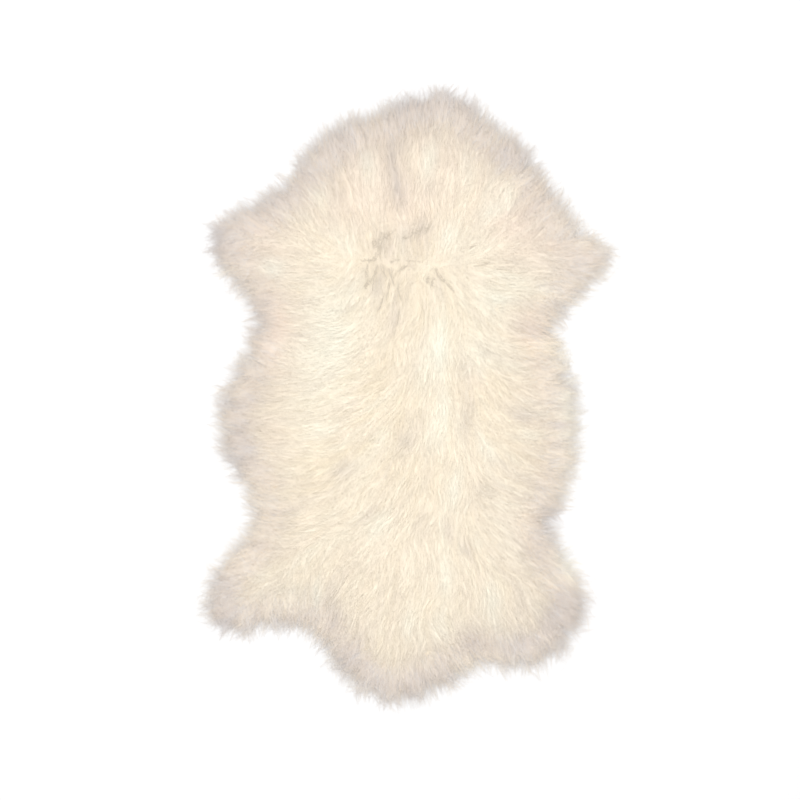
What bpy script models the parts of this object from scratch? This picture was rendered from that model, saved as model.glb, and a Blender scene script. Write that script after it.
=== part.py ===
"""Sheepskin rug: one tanned hide lying flat, and the long fleece that grows on it.

Metres, +Z up. The neck points along +Y and the tail along -Y. The rug lies on the plane z = 0,
with its origin on the floor below the middle of its outline.
"""

import math

import bmesh
import bpy
from mathutils import Matrix, Vector, noise

# Hide
HIDE_THICKNESS = 0.0025
HIDE_INSET = 0.036  # the wool hangs this far past the edge of the hide
FIT_GAP = 0.0003  # between the hide and the wool's underside

# Fleece
CROWN_HEIGHT = 0.046  # along the back
EDGE_HEIGHT = 0.017  # where the slab ends and the locks begin
EDGE_ROUNDING = 0.050  # how fast the wool rises from its edge to its crown
LUMP_HEIGHT = 0.009
LUMP_SIZE = 0.044
SMALL_LUMP_SHARE = 0.45
EDGE_LUMP_SHARE = 0.35
RINGS = 13
RING_CROWDING = 1.25  # above 1, the rings lie closer together at the slab's edge
STATIONS = 132  # points in a ring, an even number
SPINE_HALF_WIDTH = 0.014
SPINE_NECK = (0.0, 0.335)
SPINE_TAIL = (-0.006, -0.300)

# The parting over the shoulders, where the wool of the neck and of the back lie away from each other
PARTING_CENTRE = (-0.004, 0.204)
PARTING_REACH = (0.075, 0.022)
PARTING_DEPTH = 0.012

# Locks at the rim, two to a station. They lean together in tufts, longest at a tuft's middle
SLAB_INSET = 0.026  # from the tips' outline to the locks' roots
TUFTS = 58
TUFT_UNEVENNESS = 0.38  # in tufts
TUFT_DRIFT = 5.0  # stations over which the tufts' widths change
LOCK_DRIFT = 0.43
LOCK_LEAN = math.radians(7)
LOCK_LENGTH = 0.98  # as shares of the way from its root to the tips' outline
TUFT_STEP = 0.15
LOCK_STEP = 0.07
LOCK_WAIST = 0.56  # where along a lock it has the waist's width and height
WAIST_WIDTH, TIP_WIDTH = 0.80, 0.28  # shares of the room between a lock's neighbours
WAIST_HEIGHT, TIP_HEIGHT = 0.66, 0.17  # shares of the height at the root
NORMAL_SPAN = 0.045  # the rim's direction is evened out over this length each way
ROUNDING_PASSES = 4

CURVE_STEPS = 12  # points that a stretch of outline between two places is read at

# The outline of the wool's tips, clockwise from the neck as seen from above
OUTLINE = [
    # place, across, along
    ("neck, middle", 0.000, 0.457),
    ("neck, peak", 0.032, 0.466),
    ("neck, right corner", 0.074, 0.460),
    ("neck, right side", 0.113, 0.430),
    ("right shoulder, top", 0.175, 0.389),
    ("right shoulder", 0.227, 0.315),
    ("right foreleg, root above", 0.266, 0.250),
    ("right foreleg, upper corner", 0.297, 0.238),
    ("right foreleg, tip", 0.309, 0.215),
    ("right foreleg, lower corner", 0.295, 0.180),
    ("right foreleg, root below", 0.260, 0.151),
    ("right armpit", 0.234, 0.113),
    ("right armpit, low", 0.235, 0.069),
    ("right flank, upper", 0.261, 0.006),
    ("right flank, middle", 0.263, -0.063),
    ("right flank, lower", 0.248, -0.141),
    ("right waist", 0.228, -0.214),
    ("right thigh", 0.254, -0.256),
    ("right hind leg, tip", 0.279, -0.303),
    ("right hind leg, lower side", 0.257, -0.356),
    ("right hind leg, corner", 0.221, -0.394),
    ("right rump", 0.168, -0.411),
    ("right of the tail", 0.110, -0.406),
    ("tail, right side", 0.077, -0.432),
    ("tail, right corner", 0.013, -0.460),
    ("tail, middle", -0.020, -0.462),
    ("tail, left corner", -0.060, -0.450),
    ("tail, left side", -0.100, -0.420),
    ("left of the tail", -0.130, -0.379),
    ("left rump", -0.158, -0.352),
    ("left hind leg, lower side", -0.211, -0.351),
    ("left hind leg, lower corner", -0.265, -0.356),
    ("left hind leg, tip below", -0.295, -0.345),
    ("left hind leg, tip", -0.309, -0.300),
    ("left thigh", -0.290, -0.252),
    ("left waist, low", -0.251, -0.213),
    ("left waist", -0.242, -0.165),
    ("left flank, lower", -0.260, -0.120),
    ("left flank, middle", -0.286, -0.058),
    ("left flank, upper", -0.285, 0.005),
    ("left armpit, low", -0.259, 0.054),
    ("left armpit", -0.238, 0.105),
    ("left foreleg, root below", -0.253, 0.150),
    ("left foreleg, lower corner", -0.289, 0.189),
    ("left foreleg, tip", -0.305, 0.233),
    ("left foreleg, upper corner", -0.287, 0.271),
    ("left foreleg, root above", -0.226, 0.300),
    ("left shoulder", -0.184, 0.329),
    ("left shoulder, top", -0.146, 0.389),
    ("neck, left side", -0.112, 0.414),
    ("neck, left corner", -0.044, 0.440),
]


def clear_scene():
    for item in list(bpy.data.objects):
        bpy.data.objects.remove(item, do_unlink=True)


def make_material(name, colour, roughness):
    material = bpy.data.materials.new(name)
    material.use_nodes = True
    shader = material.node_tree.nodes["Principled BSDF"]
    shader.inputs["Base Color"].default_value = (*colour, 1.0)
    shader.inputs["Roughness"].default_value = roughness
    shader.inputs["Metallic"].default_value = 0.0
    return material


def curve_point(before, start, end, after, share):
    """A point on the smooth curve that runs through every place of the outline."""
    a = 2 * start
    b = end - before
    c = 2 * before - 5 * start + 4 * end - after
    d = 3 * start - before - 3 * end + after
    return 0.5 * (a + b * share + c * share**2 + d * share**3)


def outline_side(first, last):
    """The outline from one place to another, clockwise, read closely."""
    places = [Vector((across, along, 0.0)) for _, across, along in OUTLINE]
    count = len(places)
    points = []
    for i in range(first, last):
        around = [places[(i + step) % count] for step in (-1, 0, 1, 2)]
        points += [curve_point(*around, k / CURVE_STEPS) for k in range(CURVE_STEPS)]
    points.append(places[last % count])
    return points


def evenly_spaced(points, count):
    """count points along a line, the first and last half a step from its ends."""
    lengths = [0.0]
    for a, b in zip(points, points[1:]):
        lengths.append(lengths[-1] + (b - a).length)
    spaced, k = [], 0
    for i in range(count):
        wanted = lengths[-1] * (i + 0.5) / count
        while lengths[k + 1] < wanted:
            k += 1
        share = (wanted - lengths[k]) / (lengths[k + 1] - lengths[k])
        spaced.append(points[k].lerp(points[k + 1], share))
    return spaced


def tip_outline():
    """The rim's stations: the right side from neck to tail, then the left side back up."""
    tail = [place for place, _, _ in OUTLINE].index("tail, middle")
    half = STATIONS // 2
    return evenly_spaced(outline_side(0, tail), half) + evenly_spaced(
        outline_side(tail, len(OUTLINE)), half
    )


def outward_directions(loop, span):
    """For each point, the way out of a clockwise loop, evened out over span each way."""
    count = len(loop)
    sides = [loop[(i + 1) % count] - loop[i] for i in range(count)]
    pitch = sum(side.length for side in sides) / count
    reach = max(1, round(span / pitch))
    out = []
    for i in range(count):
        total = Vector((0.0, 0.0, 0.0))
        for step in range(-reach, reach):
            side = sides[(i + step) % count]
            weight = 1 + reach - abs(step + 0.5)
            total += weight * Vector((-side.y, side.x, 0.0))
        out.append(total.normalized())
    return out


def inside(loop, directions, distance):
    return [point - distance * out for point, out in zip(loop, directions)]


def rounded(loop):
    """The loop with its sharp turns eased."""
    for _ in range(ROUNDING_PASSES):
        loop = [
            0.5 * point + 0.25 * (before + after)
            for before, point, after in zip(loop[-1:] + loop[:-1], loop, loop[1:] + loop[:1])
        ]
    return loop


def hide_outline(tips):
    return rounded(inside(tips, outward_directions(tips, NORMAL_SPAN), HIDE_INSET))


def spine_ring():
    """The slim ring along the back that the fleece's rings close in on."""
    neck, tail = Vector((*SPINE_NECK, 0.0)), Vector((*SPINE_TAIL, 0.0))
    half = STATIONS // 2
    aside = Vector((SPINE_HALF_WIDTH, 0.0, 0.0))
    right = [neck.lerp(tail, i / (half - 1)) + aside for i in range(half)]
    left = [neck.lerp(tail, 1 - i / (half - 1)) - aside for i in range(half)]
    return right + left


def lumps(x, y):
    large = noise.noise(Vector((x, y, 0.3)) / LUMP_SIZE)
    small = noise.noise(Vector((x, y, 0.9)) / (LUMP_SIZE / 2))
    return LUMP_HEIGHT * (large + SMALL_LUMP_SHARE * small)


def parting(x, y):
    across = (x - PARTING_CENTRE[0]) / PARTING_REACH[0]
    along = (y - PARTING_CENTRE[1]) / PARTING_REACH[1]
    return PARTING_DEPTH * math.exp(-(across**2) - along**2)


def fleece_height(point, roots):
    """The top of the wool above the floor, which rises from the slab's edge inward."""
    from_edge = min((point - root).length for root in roots)
    rise = 1 - math.exp(-from_edge / EDGE_ROUNDING)
    crown = CROWN_HEIGHT - EDGE_HEIGHT - parting(point.x, point.y)
    lump_share = EDGE_LUMP_SHARE + (1 - EDGE_LUMP_SHARE) * rise
    return EDGE_HEIGHT + crown * rise + lump_share * lumps(point.x, point.y)


def extrude_ring(mesh, ring, places):
    """Extrudes a closed ring of vertices onto new places, and returns the new ring."""
    edges = [mesh.edges.get((a, b)) for a, b in zip(ring, ring[1:] + ring[:1])]
    made = bmesh.ops.extrude_edge_only(mesh, edges=edges)["geom"]
    new = {item for item in made if isinstance(item, bmesh.types.BMVert)}
    extruded = []
    for vertex, place in zip(ring, places):
        partner = next(
            edge.other_vert(vertex)
            for edge in vertex.link_edges
            if edge.other_vert(vertex) in new
        )
        partner.co = place
        extruded.append(partner)
    return extruded


def bridge_spine(mesh, ring):
    """Closes the top of the fleece between the two long sides of its last ring."""
    half = len(ring) // 2
    right, left = ring[:half], ring[half:]
    edges = [mesh.edges.get(pair) for side in (right, left) for pair in zip(side, side[1:])]
    bmesh.ops.bridge_loops(mesh, edges=edges)


def between(loop, place):
    """The point of a closed loop at a fractional index."""
    i = int(place)
    return loop[i].lerp(loop[(i + 1) % len(loop)], place - i)


def lock_path(place, roots, tips):
    """The way from a lock's root to its tip."""
    reach = between(tips, place) - between(roots, place)
    unevenness = TUFT_UNEVENNESS * noise.noise(Vector((place / TUFT_DRIFT, 0.0, 4.5)))
    phase = 2 * math.pi * (TUFTS * place / len(roots) + unevenness)
    length = LOCK_LENGTH + TUFT_STEP * math.cos(phase)
    length += LOCK_STEP * noise.noise(Vector((place / LOCK_DRIFT, 0.0, 8.5)))
    return length * (Matrix.Rotation(LOCK_LEAN * math.sin(phase), 3, "Z") @ reach)


def nearest(centres, face):
    """The number of the lock that a face at the rim belongs to."""
    middle = face.calc_center_median()
    middle.z = 0.0
    return min(range(len(centres)), key=lambda n: (centres[n] - middle).length_squared)


def slab_edge(mesh):
    """The upright faces at the rim, and not those of the shallow recess over the hide."""
    return [
        face
        for face in mesh.faces
        if abs(face.normal.z) < 0.1 and face.calc_center_median().z > HIDE_THICKNESS
    ]


def grow_locks(mesh, walls, roots, tips):
    """Draws each face of the slab's edge out into a lock, level with the floor, that narrows twice."""
    places = [i + part for i in range(len(roots)) for part in (0.25, 0.75)]
    centres = [between(roots, place) for place in places]
    paths = [lock_path(place, roots, tips) for place in places]
    steps = (
        (LOCK_WAIST, WAIST_WIDTH, WAIST_HEIGHT),
        (1 - LOCK_WAIST, TIP_WIDTH, TIP_HEIGHT / WAIST_HEIGHT),
    )
    for advance, width, height in steps:
        walls = bmesh.ops.extrude_discrete_faces(mesh, faces=walls)["faces"]
        numbers = [nearest(centres, face) for face in walls]
        centres = [centre + advance * path for centre, path in zip(centres, paths)]
        room = [(a - b).length for a, b in zip(centres, centres[-1:] + centres[:-1])]
        for face, n in zip(walls, numbers):
            middle = face.calc_center_median()
            half_width = width * min(room[n], room[(n + 1) % len(room)]) / 2
            for vertex in face.verts:
                aside = vertex.co - middle
                aside.z = 0.0
                place = centres[n] + half_width * aside.normalized()
                vertex.co = (place.x, place.y, height * vertex.co.z)


def make_fleece(tips, collection):
    roots = rounded(inside(tips, outward_directions(tips, NORMAL_SPAN), SLAB_INSET))
    hide_edge = hide_outline(tips)
    recess = inside(hide_edge, outward_directions(hide_edge, 0.0), -FIT_GAP)
    spine = spine_ring()

    mesh = bmesh.new()
    ring = bmesh.ops.create_circle(mesh, cap_ends=False, segments=STATIONS, radius=1.0)["verts"]
    for vertex, root in zip(ring, roots):
        vertex.co = root

    def top_of(share):
        places = []
        for root, end in zip(roots, spine):
            point = root.lerp(end, share)
            places.append(Vector((point.x, point.y, fleece_height(point, roots))))
        return places

    edge = extrude_ring(mesh, ring, top_of(0.0))
    inner = edge
    for k in range(1, RINGS + 1):
        inner = extrude_ring(mesh, inner, top_of((k / RINGS) ** RING_CROWDING))
    bridge_spine(mesh, inner)

    ceiling = Vector((0.0, 0.0, HIDE_THICKNESS + FIT_GAP))
    lip = extrude_ring(mesh, ring, recess)
    roof = extrude_ring(mesh, lip, [place + ceiling for place in recess])
    bmesh.ops.contextual_create(
        mesh, geom=[mesh.edges.get(pair) for pair in zip(roof, roof[1:] + roof[:1])]
    )

    long_edges = [
        mesh.edges.get(pair) for level in (ring, edge) for pair in zip(level, level[1:] + level[:1])
    ]
    bmesh.ops.subdivide_edges(mesh, edges=long_edges, cuts=1)
    mesh.normal_update()
    mesh.faces.index_update()
    grow_locks(mesh, slab_edge(mesh), roots, tips)
    bmesh.ops.triangulate(mesh, faces=mesh.faces)
    bmesh.ops.recalc_face_normals(mesh, faces=mesh.faces)

    data = bpy.data.meshes.new("fleece")
    mesh.to_mesh(data)
    mesh.free()
    data.shade_smooth()
    data.materials.append(make_material("wool", (0.90, 0.82, 0.68), 0.95))
    fleece = bpy.data.objects.new("fleece", data)
    collection.objects.link(fleece)
    return fleece


def make_hide(tips, collection):
    edge = hide_outline(tips)
    outline = bpy.data.curves.new("hide", "CURVE")
    outline.dimensions = "2D"
    outline.fill_mode = "BOTH"
    outline.extrude = HIDE_THICKNESS / 2
    spline = outline.splines.new("POLY")
    spline.points.add(len(edge) - 1)
    for point, place in zip(spline.points, edge):
        point.co = (place.x, place.y, 0.0, 1.0)
    spline.use_cyclic_u = True
    outline.materials.append(make_material("tanned_skin", (0.78, 0.68, 0.54), 0.85))
    hide = bpy.data.objects.new("hide", outline)
    hide.location.z = HIDE_THICKNESS / 2
    collection.objects.link(hide)
    return hide


def main():
    clear_scene()
    rug = bpy.data.collections.new("sheepskin_rug")
    bpy.context.scene.collection.children.link(rug)
    origin = bpy.data.objects.new("rug_origin", None)
    rug.objects.link(origin)
    tips = tip_outline()
    for piece in (make_hide(tips, rug), make_fleece(tips, rug)):
        piece.parent = origin


main()
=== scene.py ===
import math

import bmesh
import bpy
import numpy as np
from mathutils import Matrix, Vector
from mathutils.bvhtree import BVHTree


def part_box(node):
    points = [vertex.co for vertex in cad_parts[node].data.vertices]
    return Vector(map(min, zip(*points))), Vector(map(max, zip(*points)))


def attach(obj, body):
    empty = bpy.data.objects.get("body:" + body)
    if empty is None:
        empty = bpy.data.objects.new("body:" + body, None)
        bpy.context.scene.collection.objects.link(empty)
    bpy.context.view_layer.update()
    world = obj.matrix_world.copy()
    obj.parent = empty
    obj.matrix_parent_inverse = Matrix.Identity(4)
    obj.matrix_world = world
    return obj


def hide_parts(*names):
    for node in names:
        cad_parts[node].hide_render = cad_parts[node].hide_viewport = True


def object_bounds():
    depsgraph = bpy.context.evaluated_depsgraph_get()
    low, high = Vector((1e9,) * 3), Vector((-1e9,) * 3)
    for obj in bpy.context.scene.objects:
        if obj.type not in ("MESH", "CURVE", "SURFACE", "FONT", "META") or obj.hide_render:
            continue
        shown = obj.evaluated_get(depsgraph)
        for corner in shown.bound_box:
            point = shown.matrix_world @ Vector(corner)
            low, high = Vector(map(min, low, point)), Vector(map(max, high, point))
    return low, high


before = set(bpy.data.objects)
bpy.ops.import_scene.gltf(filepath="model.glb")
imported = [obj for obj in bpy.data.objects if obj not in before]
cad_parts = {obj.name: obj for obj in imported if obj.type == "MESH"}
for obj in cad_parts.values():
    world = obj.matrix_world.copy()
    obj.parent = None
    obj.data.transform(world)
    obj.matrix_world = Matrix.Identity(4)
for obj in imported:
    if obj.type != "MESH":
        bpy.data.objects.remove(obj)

cadLow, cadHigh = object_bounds()
print("frame loaded,", round(cadHigh.x - cadLow.x, 3), "by", round(cadHigh.y - cadLow.y, 3), "m")

studio = {
    "frameWidth": 1.20,
    "centre": (-0.01275, -0.003),  # what the middle of the picture looks at
    "cameraHeight": 3.6,
    "sharpHeight": 0.02,
    "floorSize": 14.0,
    "floorColour": (0.725, 0.725, 0.73),  # shows just white in this light, so thin wisps still tell
    "airColour": (1.0, 0.995, 0.985),
    "airStrength": 0.50,
    "lampPlace": (-0.2, 0.3, 4.2),  # overhead, so that it reaches down between the locks
    "lampSize": 1.6,
    "lampPower": 180.0,
    "bounces": 12,  # pale wool passes light on many times
    "gamma": 1.1,
    "softness": 1.95,  # pixels that each point is spread over, as by a lens
}


def linked(name, data):
    item = bpy.data.objects.new(name, data)
    bpy.context.scene.collection.objects.link(item)
    return item


def newMaterial(name, roughness):
    material = bpy.data.materials.new(name)
    material.use_nodes = True
    shader = material.node_tree.nodes["Principled BSDF"]
    shader.inputs["Roughness"].default_value = roughness
    return material, material.node_tree, shader


def setStudio():
    scene = bpy.context.scene
    camera = linked("camera", bpy.data.cameras.new("camera"))
    camera.location = (*studio["centre"], studio["cameraHeight"])
    reach = studio["cameraHeight"] - studio["sharpHeight"]
    camera.data.lens = camera.data.sensor_width * reach / studio["frameWidth"]
    scene.camera = camera

    bm = bmesh.new()
    bmesh.ops.create_grid(bm, x_segments=1, y_segments=1, size=studio["floorSize"] / 2)
    mesh = bpy.data.meshes.new("floor")
    bm.to_mesh(mesh)
    bm.free()
    paint, _, shader = newMaterial("paleFloor", 0.9)
    shader.inputs["Base Color"].default_value = (*studio["floorColour"], 1)
    mesh.materials.append(paint)
    linked("floor", mesh)

    world = bpy.data.worlds.new("studio")
    world.use_nodes = True
    air = world.node_tree.nodes["Background"]
    air.inputs["Color"].default_value = (*studio["airColour"], 1)
    air.inputs["Strength"].default_value = studio["airStrength"]
    scene.world = world
    lamp = linked("lamp", bpy.data.lights.new("lamp", "AREA"))
    lamp.data.shape = "DISK"
    lamp.data.size = studio["lampSize"]
    lamp.data.energy = studio["lampPower"]
    lamp.location = studio["lampPlace"]
    lamp.rotation_euler = (-Vector(studio["lampPlace"])).to_track_quat("-Z", "Y").to_euler()
    scene.view_settings.view_transform = "Standard"
    scene.view_settings.gamma = studio["gamma"]
    scene.cycles.filter_width = studio["softness"]
    scene.cycles.max_bounces = studio["bounces"]
    scene.cycles.diffuse_bounces = studio["bounces"]


setStudio()
print("camera, floor and light set")

ground = {
    "directions": 1440,  # ways out of the middle that the outlines are read in
    "tipBin": 2.0,  # degrees; the longest lock tip in each counts
    "cell": 0.004,
    "margin": 0.03,
    "atOnce": 4000,  # places measured together
    "slabInset": 0.034,  # past the rim locks, where the slab's own top begins
    "edgeHeight": 0.0195,
    "mapSmoothing": 3,
    "lineSmoothing": 40,
    # mm that the loose wool stands past the lock tips, every five degrees from +X
    "reach": (
        2, 3.5, 3, -0.5, 2, -1, -7.5, 2, 4.5, 0.5, 0.5, -3, -4, -4, 1, -0.5, 1, -1,
        4, -0.5, 0.5, 1, 2, 2, 5.5, 5.5, 3, 1.5, 3, -3, -9, -2.5, 4, 1, 1.5, -2,
        2, 5, 5.5, 2.5, 7.5, 1.5, 1, -0.5, -5, 2, 6, -1.5, -4, 3.5, 2, 7.5, 1.5, 5,
        0.5, -3, -3, -2, 1.5, 4, 1.5, -3.5, -1.5, -14, -11.5, -2, -3, -2.5, 0.5, 2, -1, -3,
    ),
    # places where it stands out more or less than that: degrees, half width in degrees, mm
    "bulges": ((78, 3.0, 8), (87.5, 3.0, -4), (315.5, 2.5, -12), (30, 2.0, -6), (146, 3.0, -5)),
}


# A ring of values, each shared out with its neighbours
def evened(values, passes):
    for _ in range(passes):
        values = 0.5 * values + 0.25 * (np.roll(values, 1) + np.roll(values, -1))
    return values


def nodePoints(name):
    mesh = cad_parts[name].data
    points = np.zeros(len(mesh.vertices) * 3)
    mesh.vertices.foreach_get("co", points)
    return points.reshape(-1, 3)


angles = np.arange(ground["directions"]) * 2 * math.pi / ground["directions"]
outward = np.stack([np.cos(angles), np.sin(angles)], 1)


# The farthest wool in every direction, from the lock tips of the frame's fleece
def readTips():
    points = nodePoints("fleece")[:, :2]
    turn = np.degrees(np.arctan2(points[:, 1], points[:, 0])) % 360
    far = np.hypot(points[:, 0], points[:, 1])
    bins = (turn / ground["tipBin"]).astype(int)
    count = int(360 / ground["tipBin"])
    longest = [far[bins == b].max() if (bins == b).any() else np.nan for b in range(count)]
    middles = np.radians((np.arange(count) + 0.5) * ground["tipBin"])
    found = ~np.isnan(longest)
    radius = np.interp(angles, middles[found], np.array(longest)[found], period=2 * math.pi)
    turns = np.radians(np.arange(0, 360, 360 / len(ground["reach"])))
    loose = np.interp(angles, turns, np.array(ground["reach"]), period=2 * math.pi)
    for middle, halfWidth, more in ground["bulges"]:
        loose += more * np.exp(-((np.degrees(angles) - middle) / halfWidth) ** 2)
    return evened(radius + loose / 1000, ground["lineSmoothing"])


def readHide():
    points = nodePoints("hide")
    points = points[points[:, 2] > points[:, 2].mean()]
    turn = np.arctan2(points[:, 1], points[:, 0]) % (2 * math.pi)
    order = np.argsort(turn)
    far = np.hypot(points[:, 0], points[:, 1])
    return np.interp(angles, turn[order], far[order], period=2 * math.pi)


tipRadius = readTips()
hideRadius = readHide()


def radiusAt(radius, turn):
    return np.interp(turn % (2 * math.pi), angles, radius, period=2 * math.pi)


# How far each place lies in from the line of the tips, below zero outside it
def inFromTips(x, y):
    line = outward * tipRadius[:, None]
    away = np.empty(len(x))
    for start in range(0, len(x), ground["atOnce"]):
        part = slice(start, start + ground["atOnce"])
        gapX = line[None, :, 0] - x[part, None]
        gapY = line[None, :, 1] - y[part, None]
        away[part] = np.sqrt((gapX**2 + gapY**2).min(1))
    outside = np.hypot(x, y) > radiusAt(tipRadius, np.arctan2(y, x))
    return np.where(outside, -away, away)


# A map with each cell shared out among its neighbours
def softened(values, passes):
    wide, long = values.shape
    for _ in range(passes):
        padded = np.pad(values, 1, mode="edge")
        values = sum(padded[a : a + wide, b : b + long] for a in range(3) for b in range(3)) / 9
    return values


# The wool's top over the floor, on a grid: the frame's slab, with a rounded edge outside it
def readGround():
    cell = ground["cell"]
    margin = ground["margin"]
    xs = np.arange(cadLow.x - margin, cadHigh.x + margin, cell)
    ys = np.arange(cadLow.y - margin, cadHigh.y + margin, cell)
    gridX, gridY = np.meshgrid(xs, ys, indexing="ij")
    away = inFromTips(gridX.ravel(), gridY.ravel()).reshape(gridX.shape)
    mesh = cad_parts["fleece"].data
    tree = BVHTree.FromPolygons([v.co for v in mesh.vertices], [p.vertices for p in mesh.polygons])
    down = Vector((0, 0, -1))
    hits = np.zeros(gridX.shape)
    inner = away > ground["slabInset"]
    for i, j in zip(*np.nonzero(inner)):
        place = tree.ray_cast(Vector((xs[i], ys[j], 1.0)), down)[0]
        hits[i, j] = place.z if place else 0.0
    edge = ground["edgeHeight"] * np.sqrt(np.clip(away / ground["slabInset"], 0, 1))
    heights = softened(np.where(inner & (hits > 0), hits, edge), ground["mapSmoothing"])
    return xs, ys, heights, away


mapX, mapY, mapHeight, mapAway = readGround()
mapOut = -np.stack(np.gradient(mapAway, ground["cell"]), -1)


# What a map says between its cells
def onMap(values, x, y):
    u = np.clip((x - mapX[0]) / ground["cell"], 0, len(mapX) - 1.001)
    v = np.clip((y - mapY[0]) / ground["cell"], 0, len(mapY) - 1.001)
    i, j = u.astype(int), v.astype(int)
    u, v = u - i, v - j
    if values.ndim > 2:
        u, v = u[..., None], v[..., None]
    low = values[i, j] * (1 - u) + values[i + 1, j] * u
    high = values[i, j + 1] * (1 - u) + values[i + 1, j + 1] * u
    return low * (1 - v) + high * v


def unit(ways):
    return ways / np.maximum(np.linalg.norm(ways, axis=-1, keepdims=True), 1e-9)


print("outline and heights read, crown at", round(float(mapHeight.max()), 4))

# Read off: across, along (mm), and where the tips point, in degrees from +X towards the neck
combGuides = (
    # neck
    (-10, 450, 90), (50, 450, 88), (80, 450, 80), (120, 410, 60), (170, 370, 50), (-70, 420, 97),
    (-130, 390, 112), (-160, 360, 125), (-190, 320, 130), (-10, 370, 92), (-90, 340, 98),
    (50, 360, 85), (110, 340, 78),
    # above the parting
    (170, 300, 60), (-10, 290, 90), (-90, 270, 105), (50, 270, 84), (-150, 270, 128),
    (110, 260, 58), (80, 240, 60), (20, 230, 86), (-40, 230, 100), (200, 260, 32), (140, 230, 14),
    # left foreleg
    (-240, 290, 145), (-290, 230, 183), (-250, 240, 176), (-270, 200, 198), (-250, 160, 188),
    (-210, 220, 165),
    # right foreleg
    (240, 260, 32), (290, 220, 12), (280, 190, 12), (250, 200, 6), (260, 170, -18), (230, 140, -28),
    (200, 200, 2),
    # left flank
    (-160, 190, 180), (-160, 130, 180), (-230, 100, 164), (-210, 60, 165), (-250, 40, 155),
    (-250, 10, 200), (-220, 0, 188), (-260, -20, 158), (-250, -60, 175), (-240, -90, 172),
    (-190, -120, 180), (-160, -60, 183), (-130, -30, 195), (-110, 30, 196), (-230, -150, 168),
    (-220, -180, 176), (-160, -150, 195), (-130, -180, 212), (-100, -220, 225),
    # back
    (-70, 170, 240), (-20, 150, 262), (20, 150, 268), (-20, 100, 255), (20, 90, 262),
    (50, 100, 270), (80, 150, 288), (-10, 30, 250), (-70, 70, 215), (-70, 0, 212), (50, 30, 265),
    (90, 0, 283), (40, -60, 262), (-10, -80, 252), (90, -80, 285), (-70, -80, 222),
    (-70, -150, 225), (-10, -180, 245), (50, -150, 262), (50, -220, 280), (30, -290, 255),
    (80, -270, 278),
    # right flank
    (120, 170, 345), (170, 150, 352), (100, 110, 306), (140, 100, 335), (190, 80, 350),
    (180, 30, 348), (230, 20, 2), (140, 0, 318), (240, -30, 358), (230, -80, 10), (200, -50, 352),
    (140, -90, 318), (230, -120, 348), (230, -150, 336), (190, -120, 342), (160, -180, 338),
    (220, -210, 350), (170, -240, 325), (120, -240, 306),
    # right hind leg
    (230, -240, 320), (260, -270, 330), (280, -310, 320), (240, -340, 322), (200, -360, 300),
    (170, -380, 290), (210, -300, 318), (150, -320, 288),
    # left hind leg
    (-250, -220, 190), (-290, -270, 222), (-250, -290, 208), (-220, -270, 208), (-290, -320, 205),
    (-250, -340, 218), (-210, -330, 255), (-170, -310, 262), (-160, -340, 268), (-130, -300, 258),
    # tail
    (-110, -380, 222), (-90, -420, 225), (-60, -360, 252), (-40, -440, 264), (-10, -390, 268),
    (10, -450, 272), (30, -430, 296), (60, -400, 310), (50, -360, 285), (100, -380, 296),
    (120, -400, 315), (110, -330, 276), (-100, -310, 240), (-20, -320, 258),
)
comb = {
    "spread": 0.024,  # how far each row counts
    "farShare": 2e-4,  # and what it still counts farther off
    "farSize": 0.03,
    "unrestFrom": 0.85,  # rows that agree less than this leave the wool unruly
    "unrestSpan": 0.6,
    "partingTurn": 1.3,  # how far unruly wool turns aside
    "partingSize": 0.011,
    "partingSeed": 97,
}


# The way that the wool's tips point, on the map, and how much it is at odds with itself there
def readComb():
    guides = np.array(combGuides, float)
    guides[:, :2] /= 1000
    turn = np.radians(guides[:, 2])
    ways = np.stack([np.cos(turn), np.sin(turn), np.ones(len(turn))], 1)
    total = np.zeros((len(mapX), len(mapY), 3))
    for i, x in enumerate(mapX):
        gap = (x - guides[:, 0]) ** 2 + (mapY[:, None] - guides[:, 1]) ** 2
        far = comb["farShare"] * (comb["farSize"] ** 2 / (gap + 1e-6)) ** 2
        total[i] = (np.exp(-gap / (2 * comb["spread"] ** 2)) + far) @ ways
    agreed = np.linalg.norm(total[..., :2], axis=-1) / total[..., 2]
    unrest = np.clip((comb["unrestFrom"] - agreed) / comb["unrestSpan"], 0, 1)
    return unit(total[..., :2]), unrest


mapComb, mapUnrest = readComb()


def combWay(x, y):
    return unit(onMap(mapComb, x, y))


streaks = {
    "stride": 0.003,
    # seed, softening, how far each runs either way, and its share of grey and pale; fine and
    # broad are streaks of painted light and painted shade, warm is the wool's own tone
    "fine": (15, 0, 0.027, 0.075),
    "broad": (16, 3, 0.036, 0.075),
    "warm": (17, 1, 0.030, 0.20),
}


# Uneven streaks that run along the comb, times their share
def readStreaks(seed, softening, run, share):
    noise = softened(np.random.default_rng(seed).normal(size=mapHeight.shape), softening)
    total = np.zeros(noise.shape)
    for side in (-1, 1):
        x, y = np.meshgrid(mapX, mapY, indexing="ij")
        for _ in range(round(run / streaks["stride"])):
            total += onMap(noise, x, y)
            way = combWay(x, y)
            x = x + side * streaks["stride"] * way[..., 0]
            y = y + side * streaks["stride"] * way[..., 1]
    return share * total / total.std()


# streaks of painted light and painted shade along the comb
mapPaintedShading = readStreaks(*streaks["fine"]) + readStreaks(*streaks["broad"])
mapWarm = readStreaks(*streaks["warm"])
print("comb and streaks read")


# Smooth uneven values of about -1 to 1, with lumps of a size
def waves(x, y, size, seed, count=10):
    rng = np.random.default_rng(seed)
    total = np.zeros(np.shape(x))
    for _ in range(count):
        turn, phase = rng.uniform(0, 2 * math.pi, 2)
        pace = math.pi / size * rng.uniform(0.6, 1.5)
        total += np.sin(pace * (x * math.cos(turn) + y * math.sin(turn)) + phase)
    return total / math.sqrt(count / 2)


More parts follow.
